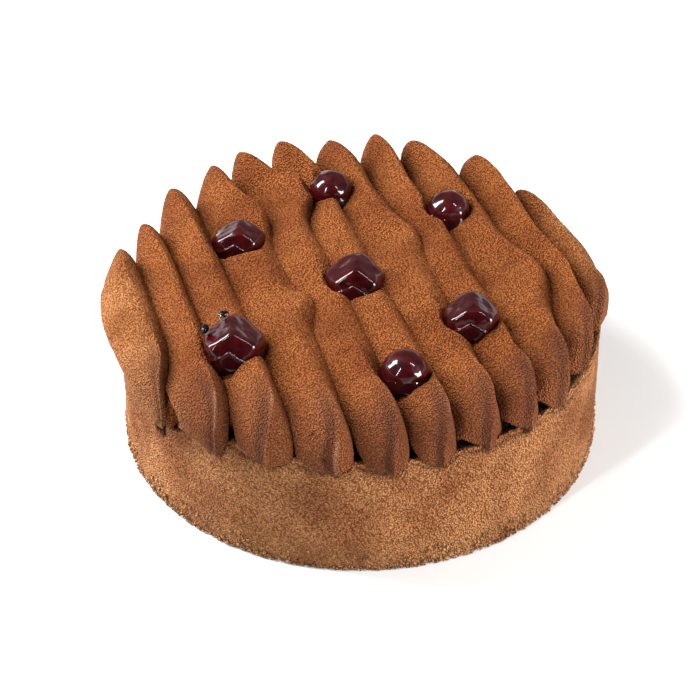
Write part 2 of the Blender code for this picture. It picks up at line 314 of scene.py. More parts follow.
def smooth_step(low, high, value):
    """0 below low, 1 above high, and 3t2 - 2t3 between."""
    t = np.clip((value - low) / (high - low), 0.0, 1.0)
    return t * t * (3.0 - 2.0 * t)


def soft_minimum(a, b, blend):
    """The lower of a and b, rounded where they are within blend of each other."""
    near = np.maximum(blend - np.abs(a - b), 0.0) / blend
    return np.minimum(a, b) - near * near * blend * 0.25


# ---------------------------------------------------------------------------------------------------------
# Meshes
# ---------------------------------------------------------------------------------------------------------

def grid_normals(points):
    """Unit normals of a grid of points: the cross product of its differences along both directions."""
    along = np.gradient(points, axis=0)
    across = np.gradient(points, axis=1)
    normals = np.cross(across, along)
    return normals / np.maximum(np.linalg.norm(normals, axis=-1, keepdims=True), 1e-9)


def closed_tube(rings):
    """Vertices and faces of closed rings (rows, around, 3) joined in order, each end shut by its centre."""
    rows, around, _ = rings.shape
    index = np.arange(rows * around).reshape(rows, around)
    following = np.roll(index, -1, axis=1)
    quads = np.stack([index[:-1], following[:-1], following[1:], index[1:]], axis=-1).reshape(-1, 4)
    centres = np.stack([rings[0].mean(axis=0), rings[-1].mean(axis=0)])
    verts = np.concatenate([rings.reshape(-1, 3), centres])
    first = np.full(around, rows * around)
    last = first + 1
    caps = np.concatenate([np.stack([following[0], index[0], first], axis=-1),
                           np.stack([index[-1], following[-1], last], axis=-1)])
    return verts, quads, caps


def box_of(node):
    """Centre and half sizes of a CAD node's box, in millimetres."""
    low, high = (np.array(corner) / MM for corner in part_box(node))
    return 0.5 * (low + high), 0.5 * (high - low)


def add_piece(name, verts, quads, triangles, material, replaced=(), attributes=None):
    """A mesh piece in the row frame from millimetres, with point attributes, riding on the root body."""
    mesh = bpy.data.meshes.new(name)
    mesh.from_pydata(verts * MM, [], quads.tolist() + triangles.tolist())
    signed = signed_volume(verts, quads, triangles)
    if signed < 0.0:
        mesh.flip_normals()
    mesh.shade_smooth()
    for key, values in (attributes or {}).items():
        layer = mesh.attributes.new(key, "FLOAT", "POINT")
        layer.data.foreach_set("value", values.astype(np.float32))
    mesh.materials.append(material)
    mesh.validate()
    piece = bpy.data.objects.new(name, mesh)
    bpy.context.scene.collection.objects.link(piece)
    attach(piece, "root")
    if replaced:
        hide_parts(*replaced)
    return piece


def signed_volume(verts, quads, triangles):
    """Volume inside a closed mesh, negative when its faces point inwards: a sixth of the triple products."""
    halves = np.concatenate([quads[:, (0, 1, 2)], quads[:, (0, 2, 3)], triangles])
    a, b, c = (verts[halves[:, k]] for k in range(3))
    return np.sum(a * np.cross(b, c)) / 6.0


# ---------------------------------------------------------------------------------------------------------
# Piped cream
# ---------------------------------------------------------------------------------------------------------

def hump(y, place, height, spread):
    """height times exp(-((y - place) / spread) squared)."""
    return height * np.exp(-((y - place) / spread) ** 2)


def sway(y, sways):
    """The sum of the humps in sways at y."""
    return sum((hump(y, *one) for one in sways), np.zeros_like(y))


def valley_x(index, y):
    """Valley line number index at y: its base plus its humps, or a circle for the two outer edges."""
    if index in (0, len(RIDGES)):
        radius, swells = RIGHT_OVERHANG if index else LEFT_OVERHANG
        radius = radius + sway(y, swells)
        return math.copysign(1.0, index - 1) * np.sqrt(np.maximum(radius ** 2 - y * y, 1.0))
    base, sways = VALLEYS[index - 1]
    return base + sway(y, sways)


def rounded(value, squareness):
    """Cosine or sine of a superellipse of the given squareness, from the plain one."""
    return np.sign(value) * np.abs(value) ** (2.0 / squareness)


def turned_end(angles, foot, sense, reach, recesses, squareness, rise, drop, narrow):
    """Stations of an end over the rim: superellipse arcs about (foot, floor) at angles from straight up.

    The crest's arc has the full reach, and those of the two edges are shorter by their recesses. The share
    of the width that is left falls by narrow times the turn to the power 1.6.
    """
    out = sense * rounded(np.sin(angles), squareness)
    up = rounded(np.cos(angles), squareness)
    lift = np.where(up > 0.0, rise, drop)
    under = np.where(up > 0.0, VALLEY_AT_RIM - RIDGE_FLOOR, 1.0)
    edges = [foot + (reach - recess) * out for recess in recesses]
    turned = angles / BULB_TURN
    share = 1.0 - narrow * turned ** 1.6
    return np.stack([np.full_like(angles, foot), foot + reach * out, RIDGE_FLOOR + lift * up, edges[0],
                     edges[1], RIDGE_FLOOR + under * up, share, foot + sense * BULB_BASE_REACH * turned],
                    axis=-1)


def bulb_stations():
    """How many stations a bulb has."""
    return int(2.2 * BULB_REACH / CREAM_STEP)


def ridge_stations(ridge):
    """Stations from the front end to the back: foot y, crest y and z, edge ys, valley z, share, base y."""
    front = ridge["front"] + BULB_REACH
    back = ridge["back"] - POINT_REACH
    rise = ridge["crest"] - RIDGE_FLOOR
    point_count = int(1.9 * POINT_REACH / CREAM_STEP)
    middle_count = int((back - front) / CREAM_STEP)
    bulb = turned_end(np.linspace(BULB_TURN, 0.0, bulb_stations(), endpoint=False), front, -1.0, BULB_REACH,
                      ridge["recesses"], BULB_SQUARENESS, rise, ridge["drop"], ridge["narrow"])
    point = turned_end(np.linspace(0.0, POINT_TURN, point_count + 1)[1:], back, 1.0, POINT_REACH,
                       (POINT_RECESS, POINT_RECESS), POINT_SQUARENESS, rise + ridge["lift"], 1.0, 0.0)
    along = np.linspace(0.0, 1.0, middle_count)
    y = front + (back - front) * along
    middle = np.stack([y, y, ridge["crest"] + ridge["lift"] * along ** 4, y, y,
                       np.full_like(y, VALLEY_AT_RIM), np.ones_like(y), y], axis=-1)
    return np.concatenate([bulb, middle, point])


def rim_slope(index, y):
    """Slope of the rim in plan where a ridge ends, so that the bulbs follow the round edge."""
    y = np.array(float(y))
    middle = 0.5 * (valley_x(index, y) + valley_x(index + 1, y))
    return float(np.clip(-middle / y, -0.8, 0.8))


def end_slope(index, ridge, y):
    """The shear of the sections at y: that of the rim at the two ends, fading to none between them."""
    near_front = np.clip(1.0 - (y - ridge["front"] - BULB_REACH) / 30.0, 0.0, 1.0)
    near_back = np.clip(1.0 - (ridge["back"] - POINT_REACH - y) / 30.0, 0.0, 1.0)
    return rim_slope(index, ridge["front"]) * near_front + rim_slope(index, ridge["back"]) * near_back


def pressed(x, y, z):
    """Height z, no higher than the cone that each cherry presses: its floor plus a rise away from it."""
    for number in ROUND_CHERRIES + CREASED_CHERRIES:
        centre, halves = box_of("cherry_%d" % number)
        radius = halves[0]
        beyond = np.maximum(np.hypot(x - centre[0], y - centre[1]) - PRESSED_SHARE * radius, 0.0)
        z = soft_minimum(z, PRESSED_HEIGHT + PRESSED_RISE * beyond, PRESSED_BLEND)
    return z


def hollowed(x, y, z):
    """Height z less a smooth hollow, depth times exp(-(dx/width)2 - (dy/length)2), at each listed place."""
    for place_x, place_y, width, length, depth in HOLLOWS:
        z = z - depth * np.exp(-((x - place_x) / width) ** 2 - ((y - place_y) / length) ** 2)
    return z


def valley_rise(x, y):
    """How far the valleys rise towards the cake's centre: VALLEY_RISE times 1 - (radius / reach)2."""
    return VALLEY_RISE * np.maximum(1.0 - (x * x + y * y) / VALLEY_RISE_RADIUS ** 2, 0.0)


def ridge_top(index, ridge, stations, across):
    """Upper surface of a ridge as points (stations, across, 3).

    At lateral place t the height falls from the crest to the valley by |t| to the power of that flank, and
    y moves from the crest's to the edge's by |t| to the end power. x lies between the two valley lines at
    that y, shifted by the lean of the crest, which fades as 1 - |t|.
    """
    foot_y, crest_y, crest_z, left_y, right_y, valley_z, share, _ = (stations[:, k:k + 1] for k in range(8))
    t = across[None, :]
    edge_y = np.where(t > 0.0, right_y, left_y)
    bulb = 1.0 - smooth_step(ridge["front"] + 8.0, ridge["front"] + 34.0, crest_y)
    plain_powers = SOFT_FLANK_POWERS if index < SOFT_RIDGES else FLANK_POWERS
    powers = [plain + (at_bulb - plain) * bulb for plain, at_bulb in zip(plain_powers, BULB_FLANK_POWERS)]
    side = np.where(t > 0.0, powers[1], powers[0])
    edge_x = np.where(t > 0.0, valley_x(index + 1, edge_y), valley_x(index, edge_y))
    y = crest_y + (edge_y - crest_y) * np.abs(t) ** END_POWER
    z = crest_z + (valley_z + valley_rise(edge_x, edge_y) - crest_z) * np.abs(t) ** side
    slope = end_slope(index, ridge, foot_y)
    y = y + slope * t * 0.5 * (valley_x(index + 1, y) - valley_x(index, y))
    left, right = valley_x(index, y), valley_x(index + 1, y)
    half = 0.5 * (right - left) * share + CREASE_OVERLAP
    lean = CREST_LEAN + sway(y, ridge["sways"]) + hump(y, ridge["back"], ridge["tip"] - 0.8, 22.0)
    lean = lean + hump(y, ridge["front"], BULB_LEAN, 30.0)
    lean = lean * np.clip((crest_z - RIDGE_FLOOR) / (ridge["crest"] - RIDGE_FLOOR), 0.25, 1.0)
    x = 0.5 * (left + right) + half * t + lean * (1.0 - np.abs(t))
    z = hollowed(x, y, pressed(x, y, z))
    return np.stack([x, y, z], axis=-1)


def ridge_feet(index, stations):
    """The two lower corners of each station, under the cake's top, as points (stations, 2, 3).

    The first ridge's outer foot sags down over the wall, fading out behind by a smooth step.
    """
    base_y = stations[:, 7]
    left, right = valley_x(index, base_y) + FOOT_INSET, valley_x(index + 1, base_y) - FOOT_INSET
    floor = np.full_like(base_y, RIDGE_FLOOR - 1.0)
    left_floor = floor
    if index == 0:
        sagging = 1.0 - smooth_step(20.0, 44.0, base_y)
        left = left + (-np.sqrt(SAG_RADIUS ** 2 - base_y ** 2) - left) * sagging
        left_floor = floor + (SAG_HEIGHT - floor) * sagging
    return np.stack([np.stack([left, base_y, left_floor], axis=-1),
                     np.stack([right, base_y, floor], axis=-1)], axis=1)


def skirt(edge, foot):
    """Rows of points in even steps from just above a foot to just below the edge over it."""
    share = np.linspace(0.0, 1.0, SKIRT_ROWS, endpoint=False)[1:, None]
    return foot[:, None] + (edge - foot)[:, None] * share


def pocketed(points, index):
    """Points of a ridge pulled inwards and up at its pockets, and how much each is pulled, from 0 to 1.

    The pull is a smooth step from 0 at the sides of a wedge to 1 inside it. The wedge narrows evenly from
    its width at the foot to nothing at its top, and it is cut only near the rim.
    """
    pulled = np.zeros(points.shape[:-1])
    result = points.copy()
    near_rim = smooth_step(80.0, 90.0, np.hypot(points[..., 0], points[..., 1]))
    for x, y, width, inward, lift, top in [pocket[1:] for pocket in POCKETS if pocket[0] == index]:
        outward = np.array([x, y]) / math.hypot(x, y)
        along = (points[..., 0] - x) * -outward[1] + (points[..., 1] - y) * outward[0]
        facing = (points[..., 0] * outward[0] + points[..., 1] * outward[1]) > 0.0
        half = width * np.clip((top - points[..., 2]) / (top - POCKET_FOOT), 0.0, 1.0)
        pull = smooth_step(0.0, 1.6, half - np.abs(along)) * near_rim * facing
        result[..., :2] -= outward * (inward * pull)[..., None]
        result[..., 2] += lift * pull
        pulled = np.maximum(pulled, pull)
    return result, pulled


def open_pores(points, normals):
    """Points moved inwards by depth times exp(-(distance / radius)2) at each pore, and how deep each is."""
    depth_here = np.zeros(points.shape[:-1])
    for x, y, z, radius, depth in PORES:
        distance = np.linalg.norm(points - np.array([x, y, z]), axis=-1)
        nearest = distance.min()
        if nearest < 6.0:
            distance = np.linalg.norm(points - points[distance == nearest][0], axis=-1)
            depth_here += depth * np.exp(-(distance / radius) ** 2)
    return points - normals * depth_here[..., None], depth_here


def add_ridge(index, ridge, material):
    """One ridge of piped cream, with its pits, its pores and the marks that its colour follows.

    Its surface is lifted along its normals by slow noise, by the keel exp(-|t - place| / width), by the
    streak and the lip, and lowered by the pits and by the groove exp(-((t - place) / width)2). The first and
    the last ridge have a skirt outside, down to their feet.
    It returns the lower edge of the bulb, and of the first ridge's skirt, as points.
    """
    stations = ridge_stations(ridge)
    across = np.linspace(-1.0, 1.0, int(RIDGE_GIRTH / CREAM_STEP))
    across = np.sign(across) * np.abs(across) ** 1.1
    top, pocket = pocketed(ridge_top(index, ridge, stations, across), index)
    feet = ridge_feet(index, stations)
    if index == 0:
        outer = skirt(top[:, 0], feet[:, 0])
        top = np.concatenate([outer, top], axis=1)
        pocket = np.pad(pocket, ((0, 0), (outer.shape[1], 0)))
        across = np.pad(across, (outer.shape[1], 0), constant_values=-1.0)
    elif index == len(RIDGES) - 1:
        outer = skirt(top[:, -1], feet[:, 1])[:, ::-1]
        top = np.concatenate([top, outer], axis=1)
        pocket = np.pad(pocket, ((0, 0), (0, outer.shape[1])))
        across = np.pad(across, (0, outer.shape[1]), constant_values=1.0)
    normals = grid_normals(top)
    if normals[len(stations) // 2, top.shape[1] // 2, 2] < 0.0:
        normals = -normals
    crest_y = stations[:, 1:2] + 0.0 * across[None, :]
    bulb = 1.0 - smooth_step(ridge["front"] + 6.0, ridge["front"] + 30.0, crest_y)
    patchy = smooth_step(0.0, 0.7, soft_noise(top, 8.0, 13))
    place = across[None, :]
    keel = bulb * np.exp(-np.abs(place - KEEL_PLACE) / KEEL_WIDTH)
    # the streak is raised in the mesh and also carries a painted highlight into the colour
    streak_and_highlight = bulb * patchy * np.exp(-((place - KEEL_PLACE) / STREAK_WIDTH) ** 2)
    # the groove is cut into the mesh, and its mark also carries painted shade into the colour
    groove = bulb * np.exp(-((place - GROOVE_PLACE) / GROOVE_WIDTH) ** 2)
    turned = np.zeros(len(stations))
    turned[:bulb_stations()] = np.linspace(BULB_TURN, 0.0, bulb_stations(), endpoint=False)
    lip = np.exp(-((turned[:, None] - LIP_TURN) / LIP_WIDTH) ** 2) * (0.5 + 0.5 * patchy)
    streak_and_highlight = np.maximum(streak_and_highlight, 0.8 * lip)
    # painted light: the cream turns paler tan towards the far left and right, in place of side lamps
    painted_side_light = smooth_step(SIDE_LIGHT_FROM, SIDE_LIGHT_FULL, np.abs(top[..., 0]))
    pit = pits(top, PIT_SPACING, 11)
    unevenness = soft_noise(top, 17.0, 5) * 0.45 + soft_noise(top, 6.0, 7) * 0.18
    depth = PIT_DEPTH * (1.0 - 0.5 * bulb) * (1.0 - 0.8 * streak_and_highlight)
    lifted = unevenness - depth * pit + STREAK_HEIGHT * streak_and_highlight - GROOVE_DEPTH * groove
    lifted = lifted + LIP_HEIGHT * lip + KEEL_HEIGHT * keel
    top, pores = open_pores(top + normals * lifted[..., None], normals)
    verts, quads, caps = closed_tube(np.concatenate([feet[:, :1], top, feet[:, 1:]], axis=1))

    def spread(values):
        """The values of the top's points, with plain ones for the feet and the two cap centres."""
        edge = np.zeros((len(stations), 1))
        return np.concatenate([np.concatenate([edge, values, edge], axis=1).ravel(), np.zeros(2)])

    # painted shade: the pockets and the open pores are darkened in colour through the pocket mark
    dark = np.maximum(pocket, PORE_SHADE * np.minimum(pores, 1.0))
    marks = {"pit": pit, "streak_and_highlight": streak_and_highlight, "groove": groove, "bulb": bulb, "painted_side_light": painted_side_light, "pocket": dark}
    add_piece("piped_cream_%02d" % (index + 1), verts, quads, caps, material,
              ["ridge_%02d" % (index + 1)], {key: spread(values) for key, values in marks.items()})
    edges = [top[int(np.argmin(np.abs(turned - LIP_TURN)))]]
    if index == 0:
        edges.append(top[:, 0])
    return edges


# ---------------------------------------------------------------------------------------------------------
# Crumbed wall
# ---------------------------------------------------------------------------------------------------------

def wall_profile():
    """Radius and height down the profile: the flat top, the wall, a quarter-round foot and the underside."""
    top = [(r, BODY_HEIGHT) for r in np.linspace(88.0, BODY_RADIUS - 1.0, 14)]
    edge = [(BODY_RADIUS - 1.0 + math.sin(a), BODY_HEIGHT - 1.0 + math.cos(a))
            for a in np.linspace(0.2, math.pi / 2, 4)]
    wall = [(BODY_RADIUS, z) for z in np.arange(BODY_HEIGHT - 1.6, FOOT_ROUNDING, -WALL_STEP)]
    foot = [(BODY_RADIUS - FOOT_ROUNDING * (1.0 - math.cos(a)), FOOT_ROUNDING * (1.0 - math.sin(a)))
            for a in np.linspace(0.0, math.pi / 2, 6)]
    under = [(r, 0.0) for r in (95.0, 80.0, 60.0)]
    return np.array(top + edge + wall + foot + under)


def rim_dip(turn):
    """How far the wall's top edge dips at each angle: the sum of depth times exp(-(angle / width)2)."""
    degrees = np.degrees(turn)
    return sum(depth * np.exp(-((degrees - place) / width) ** 2) for place, width, depth in RIM_DIPS)


def seam_height(turn, edges):
    """Height of the lowest bulb edge at each angle about Z, by straight lines between the edge's points."""
    lowest = np.full_like(turn, 2.0 * BODY_HEIGHT)
    for edge in edges:
        place = np.arctan2(edge[:, 1], edge[:, 0]) % (2.0 * math.pi)
        order = np.argsort(place)
        here = np.interp(turn, place[order], edge[order, 2], left=2.0 * BODY_HEIGHT, right=2.0 * BODY_HEIGHT)
        lowest = np.minimum(lowest, here)
    return lowest


def add_wall(material, edges):
    """The crumbed wall: the profile turned about Z, dipped at the rim, with pits and a coarser foot.

    Below the bulbs' edges it has a seam, exp(-(distance / width)2) deep, and at one place a torn hole,
    a superellipse of power 4 with ragged sides. Painted shade darkens the seam, the hole and the top under
    the cream.
    """
    profile = wall_profile()
    count = int(2.0 * math.pi * BODY_RADIUS / (WALL_STEP * 1.05))
    turn = np.linspace(0.0, 2.0 * math.pi, count, endpoint=False)
    rings = np.stack([profile[:, :1] * np.cos(turn), profile[:, :1] * np.sin(turn),
                      profile[:, 1:] + 0.0 * turn], axis=-1)
    normals = grid_normals(rings)
    middle = int(np.argmin(np.abs(profile[:, 1] - 0.5 * BODY_HEIGHT)))
    if np.sum(normals[middle, 0, :2] * rings[middle, 0, :2]) < 0.0:
        normals = -normals
    height = rings[..., 2]
    radius = np.hypot(rings[..., 0], rings[..., 1])
    low = 1.0 - smooth_step(4.0, 20.0, height)
    # painted shade: the cake's top under the cream, seen between the bulbs, is darkened
    under_cream = smooth_step(53.0, 54.5, height) * (1.0 - smooth_step(BODY_RADIUS - 2.6, BODY_RADIUS - 1.2,
                                                                       radius))
    pit = pits(rings, PIT_SPACING * 0.93, 31)
    speck = np.exp(-(nearest_seed(rings, 1.6, 37) / 0.30) ** 2)
    uneven = soft_noise(rings, 22.0, 41) * 0.5 + soft_noise(rings, 7.0, 43) * 0.2
    on_wall = smooth_step(0.3, 2.5, height)
    degrees, hole_height, half_width, half_height, hole_depth = TORN_HOLE
    sideways = (turn - math.radians(degrees))[None, :] * BODY_RADIUS / half_width
    sunk = height - rim_dip(turn)[None, :] * smooth_step(18.0, 50.0, height)
    upward = (sunk - hole_height) / half_height
    inside = 1.0 - sideways ** 4 - upward ** 4 + 0.5 * soft_noise(rings, 2.5, 47)
    hole = smooth_step(0.0, 0.5, inside)
    hole_shade = smooth_step(-0.1, 0.15, inside)
    seam = np.exp(-((sunk - seam_height(turn, edges)[None, :] + SEAM_BELOW) / SEAM_WIDTH) ** 2)
    push = (uneven - PIT_DEPTH * pit + (0.22 + 0.5 * low) * speck) * on_wall
    push = push - hole_depth * hole - SEAM_DEPTH * seam
    # painted shade under the cream, in the hole and along the seam
    dark = np.maximum(np.maximum(under_cream, hole_shade), 0.55 * seam)
    rings = rings + normals * push[..., None]
    rings[..., 2] += sunk - height
    verts, quads, caps = closed_tube(rings)
    pad = np.zeros(2)
    marks = {"pit": pit, "speck": speck, "low": low, "pocket": dark}
    add_piece("crumbed_wall", verts, quads, caps, material, ["cake_body"],
              {key: np.concatenate([values.ravel(), pad]) for key, values in marks.items()})


# ---------------------------------------------------------------------------------------------------------
# Small lumps
# ---------------------------------------------------------------------------------------------------------

def lumps(centres, halves, turns, rows, around, roughness, seed):
    """Uneven ellipsoids in one mesh: spheres of directions, scaled by noise and halves, turned about Z."""
    polar = np.linspace(0.12, math.pi - 0.12, rows)[:, None]
    turn = np.linspace(0.0, 2.0 * math.pi, around, endpoint=False)[None, :]
    unit = np.stack([np.sin(polar) * np.cos(turn), np.sin(polar) * np.sin(turn),
                     np.cos(polar) + 0.0 * turn], axis=-1)
    verts, quads, caps = closed_tube(unit)
    offsets = np.arange(len(centres))[:, None, None] * 7.31
    scale = 1.0 + roughness * soft_noise(verts[None] + offsets, 0.8, seed)
    shaped = verts[None] * scale[..., None] * np.asarray(halves)[:, None, :]
    cos, sin = np.cos(turns)[:, None], np.sin(turns)[:, None]
    turned = np.stack([shaped[..., 0] * cos - shaped[..., 1] * sin,
                       shaped[..., 0] * sin + shaped[..., 1] * cos, shaped[..., 2]], axis=-1)
    placed = (turned + np.asarray(centres)[:, None, :]).reshape(-1, 3)
    steps = np.arange(len(centres))[:, None, None] * len(verts)
    return placed, (quads[None] + steps).reshape(-1, 4), (caps[None] + steps).reshape(-1, 3)


def add_foot_crumbs(material):
    """Loose crumbs round the foot, denser low down, from a seeded spread."""
    spread = np.random.default_rng(7)
    turn = spread.uniform(0.0, 2.0 * math.pi, FOOT_CRUMBS)
    height = 0.8 + 9.0 * spread.uniform(0.0, 1.0, FOOT_CRUMBS) ** 2.2
    small, large = FOOT_CRUMB_SIZES
    size = small + (large - small) * spread.uniform(0.0, 1.0, FOOT_CRUMBS) ** 2
    size = np.minimum(size, 0.7 * height)
    radius = BODY_RADIUS + 0.15 + 0.4 * spread.uniform(0.0, 1.0, FOOT_CRUMBS)
    centres = np.stack([radius * np.cos(turn), radius * np.sin(turn), height], axis=-1)
    halves = size[:, None] * spread.uniform(0.7, 1.1, (FOOT_CRUMBS, 3))
    verts, quads, caps = lumps(centres, halves, turn, rows=4, around=6, roughness=0.35, seed=3)
    paleness = np.repeat(spread.uniform(0.2, 1.0, FOOT_CRUMBS), len(verts) // FOOT_CRUMBS)
    add_piece("foot_crumbs", verts, quads, caps, material, attributes={"speck": paleness})


def add_torn_rim(cream, crumb):
    """The knob of cream in the dipped rim, and the slivers and crumbs torn up along the wall's top edge."""
    verts, quads, caps = lumps([KNOB_CENTRE], [KNOB_HALVES], np.array([KNOB_TURN]), rows=60, around=60,
                               roughness=0.22, seed=5)
    add_piece("cream_knob", verts, quads, caps, cream)
    centres, halves, turns = [], [], []
    for degrees, height, length, thickness in TORN_SLIVERS:
        turn = math.radians(degrees)
        radius = BODY_RADIUS - 0.6
        centres.append((radius * math.cos(turn), radius * math.sin(turn), height))
        halves.append((thickness, length, thickness * 0.9))
        turns.append(turn + 0.12)
    verts, quads, caps = lumps(centres, halves, np.array(turns), rows=12, around=14, roughness=0.4, seed=9)
    add_piece("torn_crumbs", verts, quads, caps, crumb)


# ---------------------------------------------------------------------------------------------------------
# Cherries
# ---------------------------------------------------------------------------------------------------------

def plane_reach(directions, planes, power):
    """Distance from the centre to planes with rounded edges: (sum of (facing / distance)^p)^(-1/p)."""
    total = np.zeros(directions.shape[:-1])
    for right, front, up, distance in planes:
        normal = right * RIGHTWARD + front * FORWARD + np.array([0.0, 0.0, up])
        facing = np.maximum(directions @ (normal / np.linalg.norm(normal)), 0.0) / distance
        total += facing ** power
    return total ** (-1.0 / power)


def add_cherry(number, material):
    """A cherry under glaze, as a sphere of directions scaled to the halves of its solid's box.

    A round one has a smooth dome above a wavy line, below which the glaze stands out as a collar. On a
    creased one the glaze has set in rounded planes under a raised crease. Towards the cream both widen into
    a skirt of syrup.
    """
    centre, halves = box_of("cherry_%d" % number)
    polar = np.linspace(0.02, math.pi - 0.02, 130)[:, None]
    turn = np.linspace(0.0, 2.0 * math.pi, 180, endpoint=False)[None, :]
    unit = np.stack([np.sin(polar) * np.cos(turn), np.sin(polar) * np.sin(turn),
                     np.cos(polar) + 0.0 * turn], axis=-1)
    height = unit[..., 2]
    front = unit @ FORWARD
    side = unit @ RIGHTWARD
    seed = 100 + number
    wave = 0.10 * soft_noise(unit, 0.5, seed) + 0.06 * soft_noise(unit, 0.22, seed + 20)
    if number in ROUND_CHERRIES:
        body = np.minimum(halves, 9.6) * 0.95
        collar = smooth_step(-0.04, 0.05, 0.02 + wave - 0.18 * np.maximum(side, 0.0) ** 2 - height)
        scale = 1.0 + 0.02 * soft_noise(unit, 0.8, seed + 40) + 0.022 * soft_noise(unit, 0.3, seed + 41)
        scale = scale + 0.03 * collar
        skirt = 0.30
    else:
        body = halves * 0.98
        spread = np.random.default_rng(seed)
        planes = np.array(GLAZE_PLANES) + spread.uniform(-0.09, 0.09, (len(GLAZE_PLANES), 4)) * (1, 1, 1, 0.3)
        scale = np.minimum(plane_reach(unit, planes, 14.0), 1.06)
        scale = scale + 0.03 * soft_noise(unit, 0.4, seed + 40) + 0.005 * soft_noise(unit, 0.16, seed + 45)
        collar = smooth_step(-0.1, 0.1, 0.30 - np.abs(side) * 0.6 - height) * smooth_step(0.0, 0.5, front)
        crease = height - 0.46 + 0.85 * np.abs(side + 0.08) - 0.5 * wave
        scale = scale + 0.05 * np.exp(-(crease / 0.04) ** 2) * smooth_step(0.1, 0.4, front)
        skirt = 0.12
    ragged = 1.0 + 0.15 * front + 0.45 * soft_noise(unit * (1, 1, 0), 0.6, seed + 60)
    offsets = unit * body * scale[..., None]
    offsets[..., :2] *= (1.0 + skirt * ragged * (1.0 - smooth_step(-0.62, 0.10, height)))[..., None]
    verts, quads, caps = closed_tube(centre + offsets)
    add_piece("glazed_cherry_%d" % number, verts, quads, caps, material,
              ["cherry_%d" % number],
              {"height": np.concatenate([height.ravel(), [1.0, -1.0]]),
               "collar": np.concatenate([collar.ravel(), [0.0, 1.0]])})


def add_glaze_nubs(material):
    """Two black lumps of set syrup on the sixth cherry, where its stalk was pulled out."""
    centre, halves = box_of("cherry_6")
    places = centre + np.array([(-0.10, 0.62, 0.85), (-0.72, 0.30, 0.62)]) * halves
    sizes = [(2.3, 1.6, 1.5), (1.9, 1.7, 1.7)]
    turns = np.array([0.5, 1.1])
    verts, quads, caps = lumps(places, sizes, turns, rows=30, around=36, roughness=0.5, seed=15)
    add_piece("syrup_nubs", verts, quads, caps, material,
              attributes={"height": np.full(len(verts), -1.0)})


# ---------------------------------------------------------------------------------------------------------
# Materials
# ---------------------------------------------------------------------------------------------------------

def linear(hex_colour):
    """A linear colour with alpha from an sRGB hex value."""
    parts = [int(hex_colour[k:k + 2], 16) / 255.0 for k in (0, 2, 4)]
    return tuple(p / 12.92 if p <= 0.04045 else ((p + 0.055) / 1.055) ** 2.4 for p in parts) + (1.0,)


def add_node(tree, kind, settings=None, **links):
    """A node with its settings and its inputs, each set to a value or linked from a socket.

    An input is named by its label with underscores, or by its number as i0, i1 and so on.
    """
    node = tree.nodes.new(kind)
    for key, value in (settings or {}).items():
        setattr(node, key, value)
    for key, value in links.items():
        by_number = key[0] == "i" and key[1:].isdigit()
        socket = node.inputs[int(key[1:]) if by_number else key.replace("_", " ")]
        if isinstance(value, bpy.types.NodeSocket):
            tree.links.new(value, socket)
        else:
            socket.default_value = value
    return node


def new_material(name, **values):
    """A material with its Principled shader's constant values set, and its tree and shader."""
    material = bpy.data.materials.new(name)
    material.use_nodes = True
    tree = material.node_tree
    shader = tree.nodes["Principled BSDF"]
    for key, value in values.items():
        shader.inputs[key.replace("_", " ")].default_value = value
    return material, tree, shader


def marked(tree, name):
    """The values of a mesh attribute."""
    return add_node(tree, "ShaderNodeAttribute", {"attribute_name": name}).outputs["Fac"]


def mixed(tree, amount, first, second, blend="MIX"):
    """Two colours mixed by an amount."""
    return add_node(tree, "ShaderNodeMix", {"data_type": "RGBA", "blend_type": blend}, i0=amount, i6=first,
                    i7=second).outputs[2]


def times(tree, value, factor):
    """A value times a factor."""
    return add_node(tree, "ShaderNodeMath", {"operation": "MULTIPLY"}, i0=value, i1=factor).outputs["Value"]


def stretched(tree, value, low, high):
    """A value stretched so that low gives 0 and high gives 1."""
    return add_node(tree, "ShaderNodeMapRange", Value=value, From_Min=low, From_Max=high).outputs["Result"]


